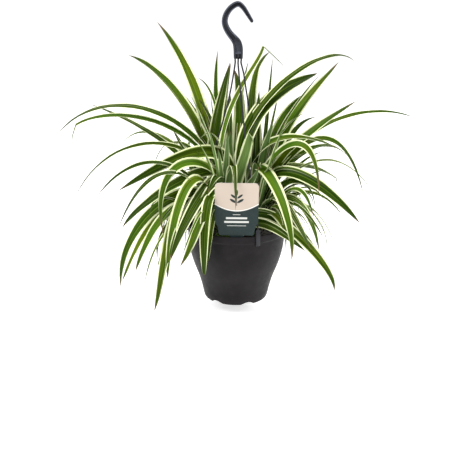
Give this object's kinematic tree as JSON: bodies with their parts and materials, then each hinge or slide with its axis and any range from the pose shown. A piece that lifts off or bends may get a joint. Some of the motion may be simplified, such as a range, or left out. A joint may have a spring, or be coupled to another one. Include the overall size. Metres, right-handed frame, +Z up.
{
  "type": "potted spider plant in a hanging pot",
  "caption": "Variegated spider plant with long arching striped leaves, in a round plastic hanging pot with a hook, bowed hanger arms and a plant label.",
  "frame": {"origin": "inner top of the hook's crown, where it bears on the rail or nail that it hangs from", "axes": "+Z up along the pot's axis, -Y towards the front with the label, +X to the right seen from the front; the hook's bend lies in the XZ plane"},
  "size_m": [0.5591, 0.3048, 0.4528],
  "materials": {
    "hanger_plastic": "satin",
    "pot_plastic": "matte",
    "potting_soil": "matte",
    "label_card": "satin",
    "leaf": "satin"
  },
  "bodies": {
    "root": {"hook": "hanger_plastic", "hanger_arm_front": "hanger_plastic", "hanger_arm_back": "hanger_plastic", "hanger_arm_left": "hanger_plastic", "pot": "pot_plastic", "potting_soil": "potting_soil", "plant_label": "label_card", "rosette_front": "leaf", "rosette_right": "leaf", "rosette_back": "leaf"}
  },
  "joints": []
}
